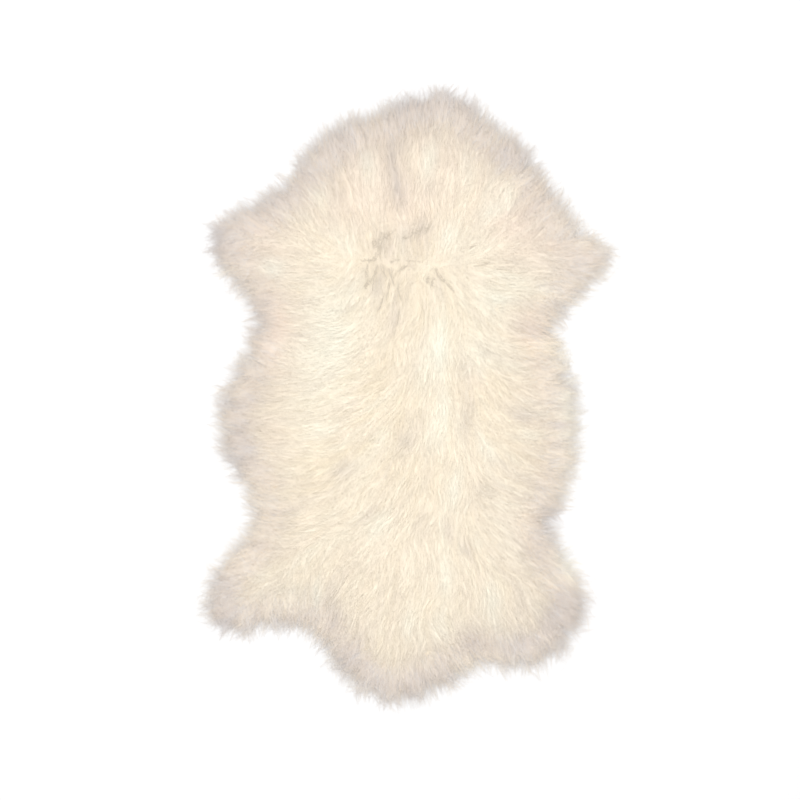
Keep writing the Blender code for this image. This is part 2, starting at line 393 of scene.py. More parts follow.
def turned(ways, turn):
    c, s = np.cos(turn), np.sin(turn)
    return np.stack([ways[..., 0] * c - ways[..., 1] * s, ways[..., 0] * s + ways[..., 1] * c], -1)


class Socket:
    def __init__(self, tree, link):
        self.tree, self.link = tree, link

    def reckon(self, operation, first, second):
        return addNode(self.tree, "ShaderNodeMath", {"operation": operation}, [first, second])

    def __add__(self, other):
        return self.reckon("ADD", self, other)

    def __rsub__(self, other):
        return self.reckon("SUBTRACT", other, self)

    def __mul__(self, other):
        return self.reckon("MULTIPLY", self, other)

    __radd__ = __add__
    __rmul__ = __mul__


# A node of a kind with its settings, then values or links for its sockets; gives one output
def addNode(tree, kind, settings, values, output=0):
    node = tree.nodes.new(kind)
    for name, value in settings.items():
        if name == "stops":
            stops = node.color_ramp.elements
            while len(stops) < len(value):
                stops.new(0.5)
            for stop, (place, colour) in zip(stops, value):
                stop.position, stop.color = place, (*colour, 1)
        else:
            setattr(node, name, value)
    for name, value in values.items() if isinstance(values, dict) else enumerate(values):
        if isinstance(value, Socket):
            tree.links.new(value.link, node.inputs[name])
        else:
            node.inputs[name].default_value = value
    return Socket(tree, node.outputs[output])


def mixColours(tree, share, first, second):
    first, second = (c if isinstance(c, Socket) else (*c, 1) for c in (first, second))
    sockets = {0: share, 6: first, 7: second}
    return addNode(tree, "ShaderNodeMix", {"data_type": "RGBA"}, sockets, 2)


def noted(tree, name):
    return addNode(tree, "ShaderNodeAttribute", {"attribute_name": name}, {}, 2)


def addNoise(tree, place, scale, detail):
    sockets = {"Vector": place, "Scale": scale, "Detail": detail}
    return addNode(tree, "ShaderNodeTexNoise", {}, sockets)


def addBump(tree, shader, height, strength, distance):
    sockets = {"Strength": strength, "Distance": distance, "Height": height}
    tree.links.new(addNode(tree, "ShaderNodeBump", {}, sockets).link, shader.inputs["Normal"])


woolLook = {
    "root": (0.935, 0.805, 0.62),
    "body": (0.944, 0.82, 0.642),
    "tip": (0.952, 0.834, 0.668),
    "streak": (0.915, 0.765, 0.53),
    # pale and grey are mixed in as painted light and painted shade, and as each lock's own uneven
    # tone
    "pale": (0.985, 0.962, 0.805),
    "grey": (0.615, 0.54, 0.48),
    "dusk": (0.66, 0.55, 0.41),  # a browner painted shade, in the hollows and on the neck
    "rosy": (0.955, 0.772, 0.632),
    "rimPaintedShade": (0.63, 0.59, 0.57),  # painted shade for the fine hairs at the edge, cooler
    "streakShare": 0.6,
    "bodyStop": 0.45,
    "roughness": 0.82,
    "surface": {"Sheen Weight": 0.12, "Sheen Roughness": 0.5, "Specular IOR Level": 0.25},
}


def makeWoolMaterial(name, grey):
    material, tree, shader = newMaterial(name, woolLook["roughness"])
    middle = (woolLook["bodyStop"], woolLook["body"])
    stops = [(0.0, woolLook["root"]), middle, (1.0, woolLook["tip"])]
    along = addNode(tree, "ShaderNodeValToRGB", {"stops": stops}, [noted(tree, "reach")])
    warm = noted(tree, "warm") * woolLook["streakShare"]
    colour = mixColours(tree, warm, along, woolLook["streak"])
    # pale, dusk and grey carry painted light and painted shade, with some uneven tone; rosy is the
    # wool's own tone
    for mark in ("rosy", "pale", "dusk"):
        colour = mixColours(tree, noted(tree, mark), colour, woolLook[mark])
    colour = mixColours(tree, noted(tree, "grey"), colour, grey)
    tree.links.new(colour.link, shader.inputs["Base Color"])
    for name, value in woolLook["surface"].items():
        shader.inputs[name].default_value = value
    return material


def makeUndercoatMaterial():
    material, tree, shader = newMaterial("undercoatWool", 0.9)
    place = addNode(tree, "ShaderNodeTexCoord", {}, {}, 3)
    fuzz = addNoise(tree, place, 420.0, 4.0)
    patches = addNoise(tree, place, 38.0, 3.0)
    colour = mixColours(tree, patches, woolLook["root"], woolLook["streak"])
    tree.links.new(colour.link, shader.inputs["Base Color"])
    addBump(tree, shader, fuzz, 0.6, 0.002)
    return material


def makeSkinMaterial():
    material, tree, shader = newMaterial("tannedSkin", 0.88)
    place = addNode(tree, "ShaderNodeTexCoord", {}, {}, 3)
    nap = addNoise(tree, place, 900.0, 3.0)
    blotches = addNoise(tree, place, 9.0, 5.0)
    grain = {"feature": "DISTANCE_TO_EDGE"}
    creases = addNode(tree, "ShaderNodeTexVoronoi", grain, {"Vector": place, "Scale": 60.0})
    colour = mixColours(tree, blotches, skin["dark"], skin["pale"])
    tree.links.new(colour.link, shader.inputs["Base Color"])
    addBump(tree, shader, nap * 0.5 + creases * 1.5, 0.35, 0.0008)
    return material


def startRing(bm, steps):
    return bmesh.ops.create_circle(bm, segments=steps, radius=1.0, cap_ends=False)["verts"]


# Puts a ring's points in every direction, at a radius and a height
def setRing(ring, radius, height):
    for k, vertex in enumerate(ring):
        turn = 2 * math.pi * k / len(ring)
        far = float(radiusAt(radius, turn))
        vertex.co = (far * math.cos(turn), far * math.sin(turn), height)


def ringEdges(bm, ring):
    return [bm.edges.get(pair) for pair in zip(ring, ring[1:] + ring[:1])]


def extrudeRing(bm, ring):
    made = bmesh.ops.extrude_edge_only(bm, edges=ringEdges(bm, ring))["geom"]
    new = {item for item in made if isinstance(item, bmesh.types.BMVert)}
    return [next(e.other_vert(v) for e in v.link_edges if e.other_vert(v) in new) for v in ring]


def closeRing(bm, ring):
    faces = bmesh.ops.contextual_create(bm, geom=ringEdges(bm, ring))["faces"]
    bmesh.ops.triangulate(bm, faces=faces)


def dressed(name, mesh, material):
    mesh.materials.append(material)
    piece = linked(name, mesh)
    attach(piece, "root")
    return piece


def meshFrom(bm, name):
    bmesh.ops.recalc_face_normals(bm, faces=bm.faces)
    mesh = bpy.data.meshes.new(name)
    bm.to_mesh(mesh)
    bm.free()
    return mesh


skin = {
    "steps": 720,
    "bevel": 0.0007,
    "ragged": 0.0009,  # how far the knife strayed along the trimmed edge
    "trim": 1.2,
    "stray": 0.4,
    "scallops": 61,
    "straySize": 0.03,
    "innerShare": 0.6,  # where the flat of each side is closed with one face
    "dark": (0.74, 0.62, 0.45),
    "pale": (0.85, 0.77, 0.63),
}


def makeSkin():
    low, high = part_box("hide")
    strayed = np.cos(angles * skin["scallops"]) + waves(*outward.T, skin["straySize"], 3)
    radius = hideRadius - skin["ragged"] * (skin["trim"] + skin["stray"] * strayed)
    bm = bmesh.new()
    ring = startRing(bm, skin["steps"])
    setRing(ring, radius - skin["bevel"], 0.0)
    under = extrudeRing(bm, ring)
    setRing(under, radius * skin["innerShare"], 0.0)
    closeRing(bm, under)
    bevels = [(0.0, skin["bevel"]), (0.0, high.z - skin["bevel"]), (skin["bevel"], high.z)]
    for inset, height in bevels:
        ring = extrudeRing(bm, ring)
        setRing(ring, radius - inset, height)
    over = extrudeRing(bm, ring)
    setRing(over, radius * skin["innerShare"], high.z)
    closeRing(bm, over)
    piece = dressed("skin", meshFrom(bm, "skin"), makeSkinMaterial())
    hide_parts("hide")
    area = float(np.sum(radius**2)) * math.pi / len(radius)


makeSkin()
print("skin made")

undercoat = {
    "spokes": 240,
    "rings": 44,
    "below": 0.0085,  # under the wool's top
    "inset": 0.040,
    "floorGap": 0.0008,
    "rimHeight": 0.004,
    "lowest": 0.005,
    "tuck": 0.003,  # how far its edge turns in underneath
    "hideGap": 0.001,
    "ledge": 0.002,
    "crowding": 1.15,  # its rings lie closer near the edge
    "bumps": ((0.0012, 0.016, 11), (0.0008, 0.007, 12)),  # height, size, seed
}


# How far out each direction stays a distance inside the tips
def insetRadius(distance):
    shares = np.linspace(0.02, 1.0, 150)
    line = outward * tipRadius[:, None]
    away = onMap(mapAway, line[:, :1] * shares, line[:, 1:] * shares)
    last = len(shares) - 1 - np.argmax((away > distance)[:, ::-1], axis=1)
    return evened(tipRadius * shares[last], 30)


def makeUndercoat():
    edge = insetRadius(undercoat["inset"])
    under = np.minimum(hideRadius + undercoat["hideGap"], edge - undercoat["ledge"])
    bm = bmesh.new()
    rim = startRing(bm, undercoat["spokes"])
    setRing(rim, edge, undercoat["rimHeight"])
    ring = rim
    for k in range(1, undercoat["rings"]):
        ring = extrudeRing(bm, ring)
        setRing(ring, edge * (1 - (k / undercoat["rings"]) ** undercoat["crowding"]), 0.0)
        x = np.array([v.co.x for v in ring])
        y = np.array([v.co.y for v in ring])
        top = onMap(mapHeight, x, y) - undercoat["below"]
        top += sum(high * waves(x, y, size, seed) for high, size, seed in undercoat["bumps"])
        for vertex, z in zip(ring, top):
            vertex.co.z = max(z, undercoat["lowest"])
    closeRing(bm, ring)
    turnedIn = edge - undercoat["tuck"]
    for radius, height in ((turnedIn, 0.0), (under, 0.0), (under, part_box("hide")[1].z)):
        rim = extrudeRing(bm, rim)
        setRing(rim, radius, height + undercoat["floorGap"])
    closeRing(bm, rim)
    mesh = meshFrom(bm, "undercoat")
    mesh.shade_smooth()
    piece = dressed("undercoat", mesh, makeUndercoatMaterial())
    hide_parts("fleece")


makeUndercoat()
print("undercoat made")


# Where the wool is greyer, paler, browner, rosier or yellower: grey, pale and browner are
# painted shade and painted light, rosy and yellower the wool's own tone
paintedLightAndTone = {
    # painted shade round the rim, by how far in from the tips
    "rimInsets": (0.0, 0.015, 0.028, 0.042, 0.054, 0.069, 0.090, 0.120, 0.165),  # in from the tips
    "rimPaintedShade": (0.53, 0.61, 0.73, 0.73, 0.53, 0.28, 0.14, 0.04, 0.0),
    # the rim's painted shade is less towards some sides: degrees from +X towards the neck
    "directions": (0, 37, 60, 90, 140, 180, 205, 218, 235, 270, 310, 335),
    "strengths": (0.74, 0.78, 0.98, 1.08, 0.98, 1.0, 0.95, 0.74, 0.98, 1.06, 1.0, 0.74),
    "paintedShadeWeight": 1.16,
    "streakPaintedShade": 0.85,
    "paintedLightWeight": 1.4,
    "warmth": 0.22,
    # each row: across, along, half width, half length (mm), share (%), and a turn (degrees) if any;
    # a share below zero takes some away
    # painted shade in darker patches
    "paintedShadePlaces": (
        # neck
        (-103, 387, 24, 13, 22, 30), (-185, 305, 28, 13, 35, 30), (80, 440, 20, 8, 22, -30),
        (152, 327, 18, 20, -25), (-125, 297, 14, 12, -15), (0, 300, 50, 12, 12),
        (-26, 369, 7, 21, 38), (-17, 322, 7, 24, 50, 5), (-7, 376, 10, 8, 25),
        (12, 440, 30, 18, 48, 5), (-25, 335, 16, 44, 20), (-90, 352, 24, 14, 16, 30),
        (140, 345, 22, 18, 22, -35), (17, 435, 27, 10, 30, 10), (-103, 384, 18, 14, 30, 30),
        (104, 402, 12, 9, 30), (160, 364, 18, 15, 35, -30), (-155, 339, 14, 15, 25, 30),
        (-220, 290, 30, 9, 25, 20), (10, 312, 44, 28, 8), (152, 300, 12, 26, -18),
        # parting
        (-118, 260, 12, 15, 22), (-38, 224, 15, 22, 32, -10), (20, 250, 22, 9, 36, 22),
        (-5, 249, 24, 14, 22, 20), (5, 203, 14, 3, 45, -10), (-12, 219, 14, 6, 30, 10),
        (-50, 159, 8, 12, 30), (-22, 120, 6, 20, 38, -5), (47, 168, 9, 8, 25),
        (160, 204, 18, 10, 22), (-45, 178, 5, 12, 30, 10),
        # left flank
        (-292, 237, 26, 20, 76), (-254, -70, 15, 32, 60), (-215, 192, 13, 13, -18),
        (-190, 100, 24, 62, -24), (-220, 120, 18, 24, 20), (-257, -66, 15, 12, 25),
        (-238, -86, 9, 15, 20), (-83, -9, 9, 12, 22), (-98, -108, 15, 12, 35),
        (-232, -176, 8, 8, 15), (-226, -220, 12, 9, 25), (-65, -176, 9, 12, 20),
        # right flank
        (215, 155, 26, 16, -12), (255, 198, 34, 26, 14), (180, 80, 26, 14, -18),
        (222, -178, 12, 14, 25), (170, -185, 28, 26, -22), (228, 72, 12, 24, -22),
        (240, -12, 12, 26, -16), (246, -100, 12, 30, -8), (182, -10, 18, 8, 16),
        (185, 103, 24, 9, 15), (221, 142, 12, 10, 30), (92, -9, 14, 7, 35),
        (85, -39, 7, 18, 35, -15), (173, -26, 20, 9, 45), (229, -40, 14, 6, 45),
        (227, -14, 10, 6, 30), (232, 24, 9, 9, 20), (115, -138, 21, 18, 25),
        (206, -190, 12, 30, 35),
        # back
        (-7, -66, 9, 12, 50), (59, -198, 10, 15, 35, 20), (86, -225, 9, 12, 38, 10),
        # legs and tail
        (-280, -280, 20, 18, 42), (-285, -345, 14, 14, 45), (248, -255, 20, 32, -25),
        (-190, -315, 30, 18, -20), (92, -400, 18, 8, -20), (172, -315, 14, 13, 30),
        (172, -370, 22, 14, 22), (-85, -108, 20, 22, 10), (212, -275, 16, 16, -20),
        (-113, -318, 10, 36, 20), (-92, -393, 20, 14, 40, -30), (-53, -426, 15, 10, 30, -30),
        (-274, -321, 21, 21, 30), (-185, -333, 24, 9, 20), (92, -363, 15, 12, 35),
        (170, -370, 20, 9, 45, 15), (227, -326, 28, 20, 95, 40), (14, -423, 45, 10, 30, 10),
        (163, -285, 5, 18, 25, 15), (-50, -378, 13, 14, -18), (85, -410, 24, 9, -18),
        (168, -370, 34, 18, 8), (-74, -438, 14, 8, -22),
    ),
    # painted light in paler patches
    "paintedLightPlaces": (
        # neck
        (-61, 350, 12, 24, 45, 5), (32, 357, 12, 30, 42, -8), (89, 339, 9, 18, 30),
        (-133, 305, 12, 14, 35), (128, 281, 10, 9, 45, 30), (151, 297, 8, 21, 30),
        # parting
        (-88, 228, 10, 15, 30), (58, 240, 12, 14, 50, -30), (-205, 200, 18, 12, 40, 10),
        (205, 162, 12, 9, 25),
        # flanks
        (-128, 95, 36, 70, 28), (-208, 188, 18, 12, 45), (150, 308, 26, 28, 20),
        (150, 165, 45, 24, 26), (105, 60, 44, 24, 26), (150, -190, 28, 36, 16),
        (-148, 5, 42, 60, 15), (137, 147, 21, 8, 25), (155, 45, 14, 8, 30),
        (118, -78, 9, 20, 45, 40), (182, -56, 14, 6, 40, -15), (205, -23, 9, 5, 30),
        (-205, -150, 16, 14, 25), (240, -14, 12, 30, 30), (244, -15, 18, 80, 55),
        (236, -248, 16, 24, 60), (255, 195, 44, 34, 20, -30), (225, 165, 24, 30, 8),
        (165, -372, 36, 20, 22), (-215, -308, 40, 18, 16),
        # back
        (47, 80, 12, 42, 50), (52, -25, 10, 36, 42), (66, -138, 12, 24, 38, -5),
        (-43, -59, 12, 15, 30), (-45, -190, 18, 15, 34), (104, -213, 8, 12, 20),
        (-105, 80, 30, 60, 20), (-80, 155, 26, 26, 16), (-130, -50, 16, 14, 18),
        (25, 50, 22, 42, 20), (32, -63, 14, 20, 20), (25, 192, 12, 14, 18), (115, 275, 10, 14, 22),
        (95, 225, 40, 28, 16, 20), (105, 110, 36, 50, 14),
        # legs and tail
        (-137, -300, 6, 24, 60), (-220, -267, 10, 10, 40), (56, -270, 9, 27, 35),
        (125, -303, 14, 30, 40), (-1, -341, 9, 24, 35), (41, -348, 9, 21, 35),
        (242, -281, 15, 12, 20), (-172, -300, 26, 18, 28), (244, -242, 12, 20, 30),
    ),
    # browner painted shade in the hollows and on the neck
    "brownPaintedShadePlaces": (
        # neck
        (-5, 430, 55, 22, 34, 5), (-105, 385, 34, 16, 22, 30), (-23, 345, 13, 36, 16),
        (170, 362, 14, 20, 20, -35), (-20, 400, 50, 22, 22), (-2, 424, 34, 36, 42),
        (-66, 372, 30, 24, 16, 20),
        # parting
        (-38, 224, 15, 20, 26, -10), (12, 245, 24, 10, 20, 15), (-45, 175, 8, 24, 16, 8),
        # flanks
        (175, 103, 15, 13, 26), (-240, 95, 15, 36, 24), (197, -175, 14, 24, 20),
        (-262, 30, 12, 30, 12),
        # legs and tail
        (228, -330, 22, 18, 30, 40), (-88, -378, 18, 14, 20),
    ),
    "rosyPlaces": (
        # neck
        (-5, 285, 60, 50, 55), (-50, 345, 60, 42, 45), (70, 350, 48, 40, 35),
        (-10, 395, 30, 18, 40), (-95, 290, 45, 40, 35), (-80, 370, 40, 26, 38),
        (25, 385, 30, 26, 30),
        # forelegs
        (-240, 240, 48, 34, 75), (165, 265, 54, 50, 75), (225, 225, 30, 25, 40),
        (-205, 110, 34, 58, 60), (-208, 195, 34, 22, 30),
        # flanks
        (178, 103, 22, 26, 90), (248, -258, 24, 34, 50), (250, 195, 46, 38, 50),
        (165, -190, 26, 26, 35), (-200, 60, 26, 60, 30), (190, 0, 25, 45, 25),
        (-205, -60, 25, 40, 25), (100, 30, 18, 30, 25),
    ),
    "warmPlaces": (
        # neck
        (-5, 275, 30, 28, 40), (-13, 372, 30, 22, 25), (-88, 342, 22, 22, 18),
        (62, 237, 24, 20, -40, 20), (122, 290, 14, 14, -25), (92, 275, 34, 22, -40),
        # parting and shoulders
        (12, 200, 22, 34, 32), (-13, 150, 26, 26, 22), (-155, 135, 46, 55, -50),
        (167, 207, 42, 40, -28), (175, 110, 20, 20, 45), (-200, 205, 36, 24, -20),
        (-115, 195, 34, 30, -28), (215, 200, 58, 22, -45),
        # back and flanks
        (-28, 14, 40, 50, 34), (-140, -100, 24, 22, 42), (-13, -108, 30, 22, 26),
        (112, -5, 32, 42, 22), (205, -48, 14, 30, 22), (47, 65, 13, 36, -40),
        (242, -40, 14, 38, -28), (-155, 5, 16, 13, -32), (32, -33, 13, 16, -30),
        (70, -145, 20, 18, -40), (-43, -190, 22, 18, -30), (90, 42, 18, 16, -30),
        (240, -18, 14, 22, -40), (-12, -205, 24, 22, -40), (-30, -190, 120, 38, -24),
        (-45, 85, 60, 30, -20),
        # legs and tail
        (235, -243, 18, 20, -28), (165, -368, 32, 20, -28), (92, -258, 28, 26, -24),
        (-100, -300, 40, 30, -10), (62, -275, 40, 26, -26), (165, -365, 34, 24, -30),
        (-172, -305, 30, 20, -30), (-20, -235, 60, 30, -18), (-10, -250, 170, 70, -14),
    ),
}


# How strongly a place is marked by rows of places
def marked(rows, x, y):
    total = np.zeros(np.shape(x))
    for across, along, halfWidth, halfLength, share, *turn in rows:
        turn = math.radians(sum(turn))
        c, s = math.cos(turn), math.sin(turn)
        u = ((x * 1000 - across) * c + (y * 1000 - along) * s) / halfWidth
        v = ((y * 1000 - along) * c - (x * 1000 - across) * s) / halfLength
        total += share / 100 * np.exp(-(u**2 + v**2))
    return total


# The same marks as maps, with the streaks: grey and dusk are painted shade, pale is painted
# light, rosy and warm the wool's own tone
def readMarks():
    x, y = np.meshgrid(mapX, mapY, indexing="ij")
    turn = np.degrees(np.arctan2(y, x)) % 360
    strength = np.interp(turn, paintedLightAndTone["directions"], paintedLightAndTone["strengths"], period=360)
    rim = strength * np.interp(mapAway, paintedLightAndTone["rimInsets"], paintedLightAndTone["rimPaintedShade"])
    return {
        "grey": rim + paintedLightAndTone["streakPaintedShade"] * np.maximum(-mapPaintedShading, 0)
        + paintedLightAndTone["paintedShadeWeight"] * marked(paintedLightAndTone["paintedShadePlaces"], x, y),
        "pale": np.maximum(mapPaintedShading, 0) + paintedLightAndTone["paintedLightWeight"] * marked(paintedLightAndTone["paintedLightPlaces"], x, y),
        "dusk": marked(paintedLightAndTone["brownPaintedShadePlaces"], x, y),
        "rosy": marked(paintedLightAndTone["rosyPlaces"], x, y),
        "warm": paintedLightAndTone["warmth"] + mapWarm + marked(paintedLightAndTone["warmPlaces"], x, y),
    }


marks = readMarks()


# One closed strand with three sides: each point's step along it and turn round it, and its faces
def strandPattern(segments):
    bm = bmesh.new()
    bmesh.ops.create_cone(bm, segments=3, radius1=1.0, radius2=0.0, depth=1.0, cap_ends=True)
    bmesh.ops.translate(bm, verts=bm.verts, vec=(0, 0, 0.5))
    for k in range(1, segments):
        cut = bm.verts[:] + bm.edges[:] + bm.faces[:]
        bmesh.ops.bisect_plane(bm, geom=cut, plane_co=(0, 0, k / segments), plane_no=(0, 0, 1))
    bmesh.ops.recalc_face_normals(bm, faces=bm.faces)
    bm.verts.index_update()
    step = np.array([round(v.co.z * segments) for v in bm.verts])
    turn = np.array([math.atan2(v.co.y, v.co.x) for v in bm.verts])
    # turned so that one flat side faces up and a corner down
    lowest = turn[step == 0][np.argmin(np.cos(turn[step == 0] + math.pi / 2))]
    turn = turn - lowest + math.pi / 2
    faces = [[v.index for v in f.verts] for f in bm.faces]
    bm.free()
    return step, turn, faces


# Joins a strand for every path into one mesh, and notes its values on its points
def makeStrands(name, paths, radii, values, material):
    count, points = paths.shape[:2]
    step, turn, faces = strandPattern(points - 1)
    ahead = unit(np.gradient(paths, axis=1))
    aside = unit(np.cross((0.0, 0.0, 1.0), ahead))
    above = np.cross(ahead, aside)
    wide = (radii[:, step] * np.cos(turn))[..., None]
    high = (radii[:, step] * np.sin(turn))[..., None] * strandShape["flatness"]
    places = paths[:, step] + wide * aside[:, step] + high * above[:, step]
    places[..., 2] = np.maximum(places[..., 2], strandShape["floorGap"])

    size = len(step)
    corners = np.concatenate(faces)
    sides = np.array([len(f) for f in faces])
    starts = np.concatenate([[0], np.cumsum(sides)[:-1]])
    allCorners = (corners + size * np.arange(count)[:, None]).ravel()
    allStarts = (starts + len(corners) * np.arange(count)[:, None]).ravel()
    mesh = bpy.data.meshes.new(name)
    mesh.vertices.add(count * size)
    mesh.vertices.foreach_set("co", places.astype(np.float32).ravel())
    mesh.loops.add(len(allCorners))
    mesh.loops.foreach_set("vertex_index", allCorners.astype(np.int32))
    mesh.polygons.add(len(allStarts))
    mesh.polygons.foreach_set("loop_start", allStarts.astype(np.int32))
    mesh.update(calc_edges=True)
    mesh.shade_smooth()
    # lit as the coat's top is, but for the lower sides past the skin's edge, seen from below
    lean = unit(places - paths[:, step]) * strandShape["roundness"] + np.array((0.0, 0.0, 1.0))
    first, second, third = (places[:, corners[starts + k]] for k in range(3))
    facing = np.repeat(unit(np.cross(second - first, third - first)), sides, axis=1)
    over = onMap(mapAway, places[..., 0], places[..., 1]) > strandShape["skinInset"]
    lit = over[:, corners, None] | (facing[..., 2:] > 0)
    normals = np.where(lit, unit(lean)[:, corners], facing)
    mesh.normals_split_custom_set(normals.reshape(-1, 3))
    notes = {"reach": np.broadcast_to(step / (points - 1), (count, size))}
    for key, table in marks.items():
        own = values[key][:, None] if key in values else 0.0
        notes[key] = np.clip(own + onMap(table, paths[..., 0], paths[..., 1])[:, step], 0, 1)
    for key, value in notes.items():
        note = mesh.attributes.new(key, "FLOAT", "POINT")
        note.data.foreach_set("value", value.astype(np.float32).ravel())
    dressed(name, mesh, material)
    print(name, count, "strands,", count * int((sides - 2).sum()), "triangles")


# The same in as many pieces as keep each one light, from the tail to the neck. A closed strand
# has six triangles for each segment, less two for its tip
def makeInPieces(look, base, height, radii, values, material):
    paths = np.concatenate([base, height[..., None]], 2)
    each = 6 * look["segments"] - 2
    pieces = math.ceil(len(paths) * each / strandShape["pieceTriangles"])
    for k, band in enumerate(np.array_split(np.argsort(paths[:, 0, 1]), pieces)):
        own = {key: value[band] for key, value in values.items()}
        makeStrands(f"{look['name']}_{k + 1}", paths[band], radii[band], own, material)


strandShape = {
    "flatness": 0.6,
    "roundness": 0.1,  # how far the shading follows a strand's own sides, and not the coat's top
    "rootShare": 0.42,  # how much of a strand lies behind its middle, going down into the coat
    "skinInset": 0.055,  # farther in than this, the skin hides the wool from below
    "floorGap": 0.0002,
    "widthSteps": (0, 0.3, 0.75, 1),  # where along a strand each look's widths are
    "pieceTriangles": 190000,
}

baseWool = {
    "name": "innerWool",
    "seed": 31,
    "pitch": 0.0064,
    "strandsInLock": 6,
    "segments": 1,
    "length": 0.038,
    "thickness": 0.0010,
    "lockRadius": 0.0052,
    "gather": 0.10,
    "rimGather": 0.3,  # its share near the edge, where the locks part into single hairs
    "tuftTurn": 0.16,
    "lockTurn": 0.14,
    "strandTurn": 0.12,
    "lift": 0.0003,
    "sunk": 0.0012,
    "rootDepth": 0.006,
    "tipLift": (-0.0010, 0.0005),
    "curl": 0.0006,
    "lockGrey": 0.05,
    "lockPale": 0.05,
    "rowGap": 0.866,  # rows of locks, in pitches
    "scatter": 0.45,
    "leastInset": 0.012,
    # the sizes of patches whose locks are alike
    "turnSize": 0.035,
    "lengthSize": 0.05,
    "layerSize": 0.028,
    "tuftSize": 0.013,
    "lengthSpread": 0.18,  # from lock to lock
    "lengthSwell": 0.10,  # and from patch to patch
    "lockScatter": 0.6,  # how wide a lock's roots stand, in its radii
    "gatherInsets": (0.02, 0.07),  # between these a lock's gather goes from the rim's to the coat's
    "gatherSpread": 0.16,
    "stretch": (0.72, 1.15),
    "bends": (3.0, 7.5),
    "pastTips": 0.025,  # how far within the outline's line tips are drawn back, at most
    "wobble": 0.0003,
    "lowest": 0.0012,
    "widths": (0.75, 1, 0.75, 0),
    "radiusSpread": (0.62, 1.3),
    "lockWarm": 0.10,
    "strandWarm": 0.22,
}

# the same, with longer and finer strands that gather in locks
topWool = {
    **baseWool,
    "name": "outerWool",
    "seed": 41,
    "pitch": 0.0082,
    "segments": 2,
    "length": 0.046,
    "thickness": 0.00063,
    "lockRadius": 0.0056,
    "gather": 0.42,
    "tuftTurn": 0.18,
    "lockTurn": 0.11,
    "strandTurn": 0.10,
    "lift": 0.0005,
    "sunk": 0.0008,
    "rootDepth": 0.0065,
    "tipLift": (-0.0009, 0.0010),
    "curl": 0.0009,
    "lockGrey": 0.06,
    "lockPale": 0.06,
}


# Uneven places a pitch apart, all over the wool
def lockPlaces(look, rng):
    pitch = look["pitch"]
    xs = np.arange(cadLow.x, cadHigh.x, pitch)
    ys = np.arange(cadLow.y, cadHigh.y, pitch * look["rowGap"])
    x, y = np.meshgrid(xs, ys, indexing="ij")
    x = x + (np.arange(len(ys)) % 2) * pitch / 2
    scatter = look["scatter"]
    x = x.ravel() + rng.uniform(-scatter, scatter, x.size) * pitch
    y = y.ravel() + rng.uniform(-scatter, scatter, y.size) * pitch
    keep = onMap(mapAway, x, y) > look["leastInset"]
    return x[keep], y[keep]


# Where locks run over the floor: straight back from their middles, and forward along the comb
def lockPaths(x, y, turn, length, points):
    middle = np.stack([x, y], 1)
    way = turned(combWay(x, y), turn)
    back = strandShape["rootShare"]
    knots = [-back, 0.0]
    stops = [middle - way * (back * length)[:, None], middle]
    for _ in range(3):
        here = stops[-1]
        ahead = turned(combWay(*here.T), turn)
        stride = (1 - back) / 3
        knots.append(knots[-1] + stride)
        stops.append(here + ahead * (stride * length)[:, None])
    shares = np.linspace(-back, 1 - back, points)
    weights = np.stack([np.interp(shares, knots, row) for row in np.eye(len(knots))], 1)
    return np.einsum("pk,lkd->lpd", weights, np.stack(stops, 1))


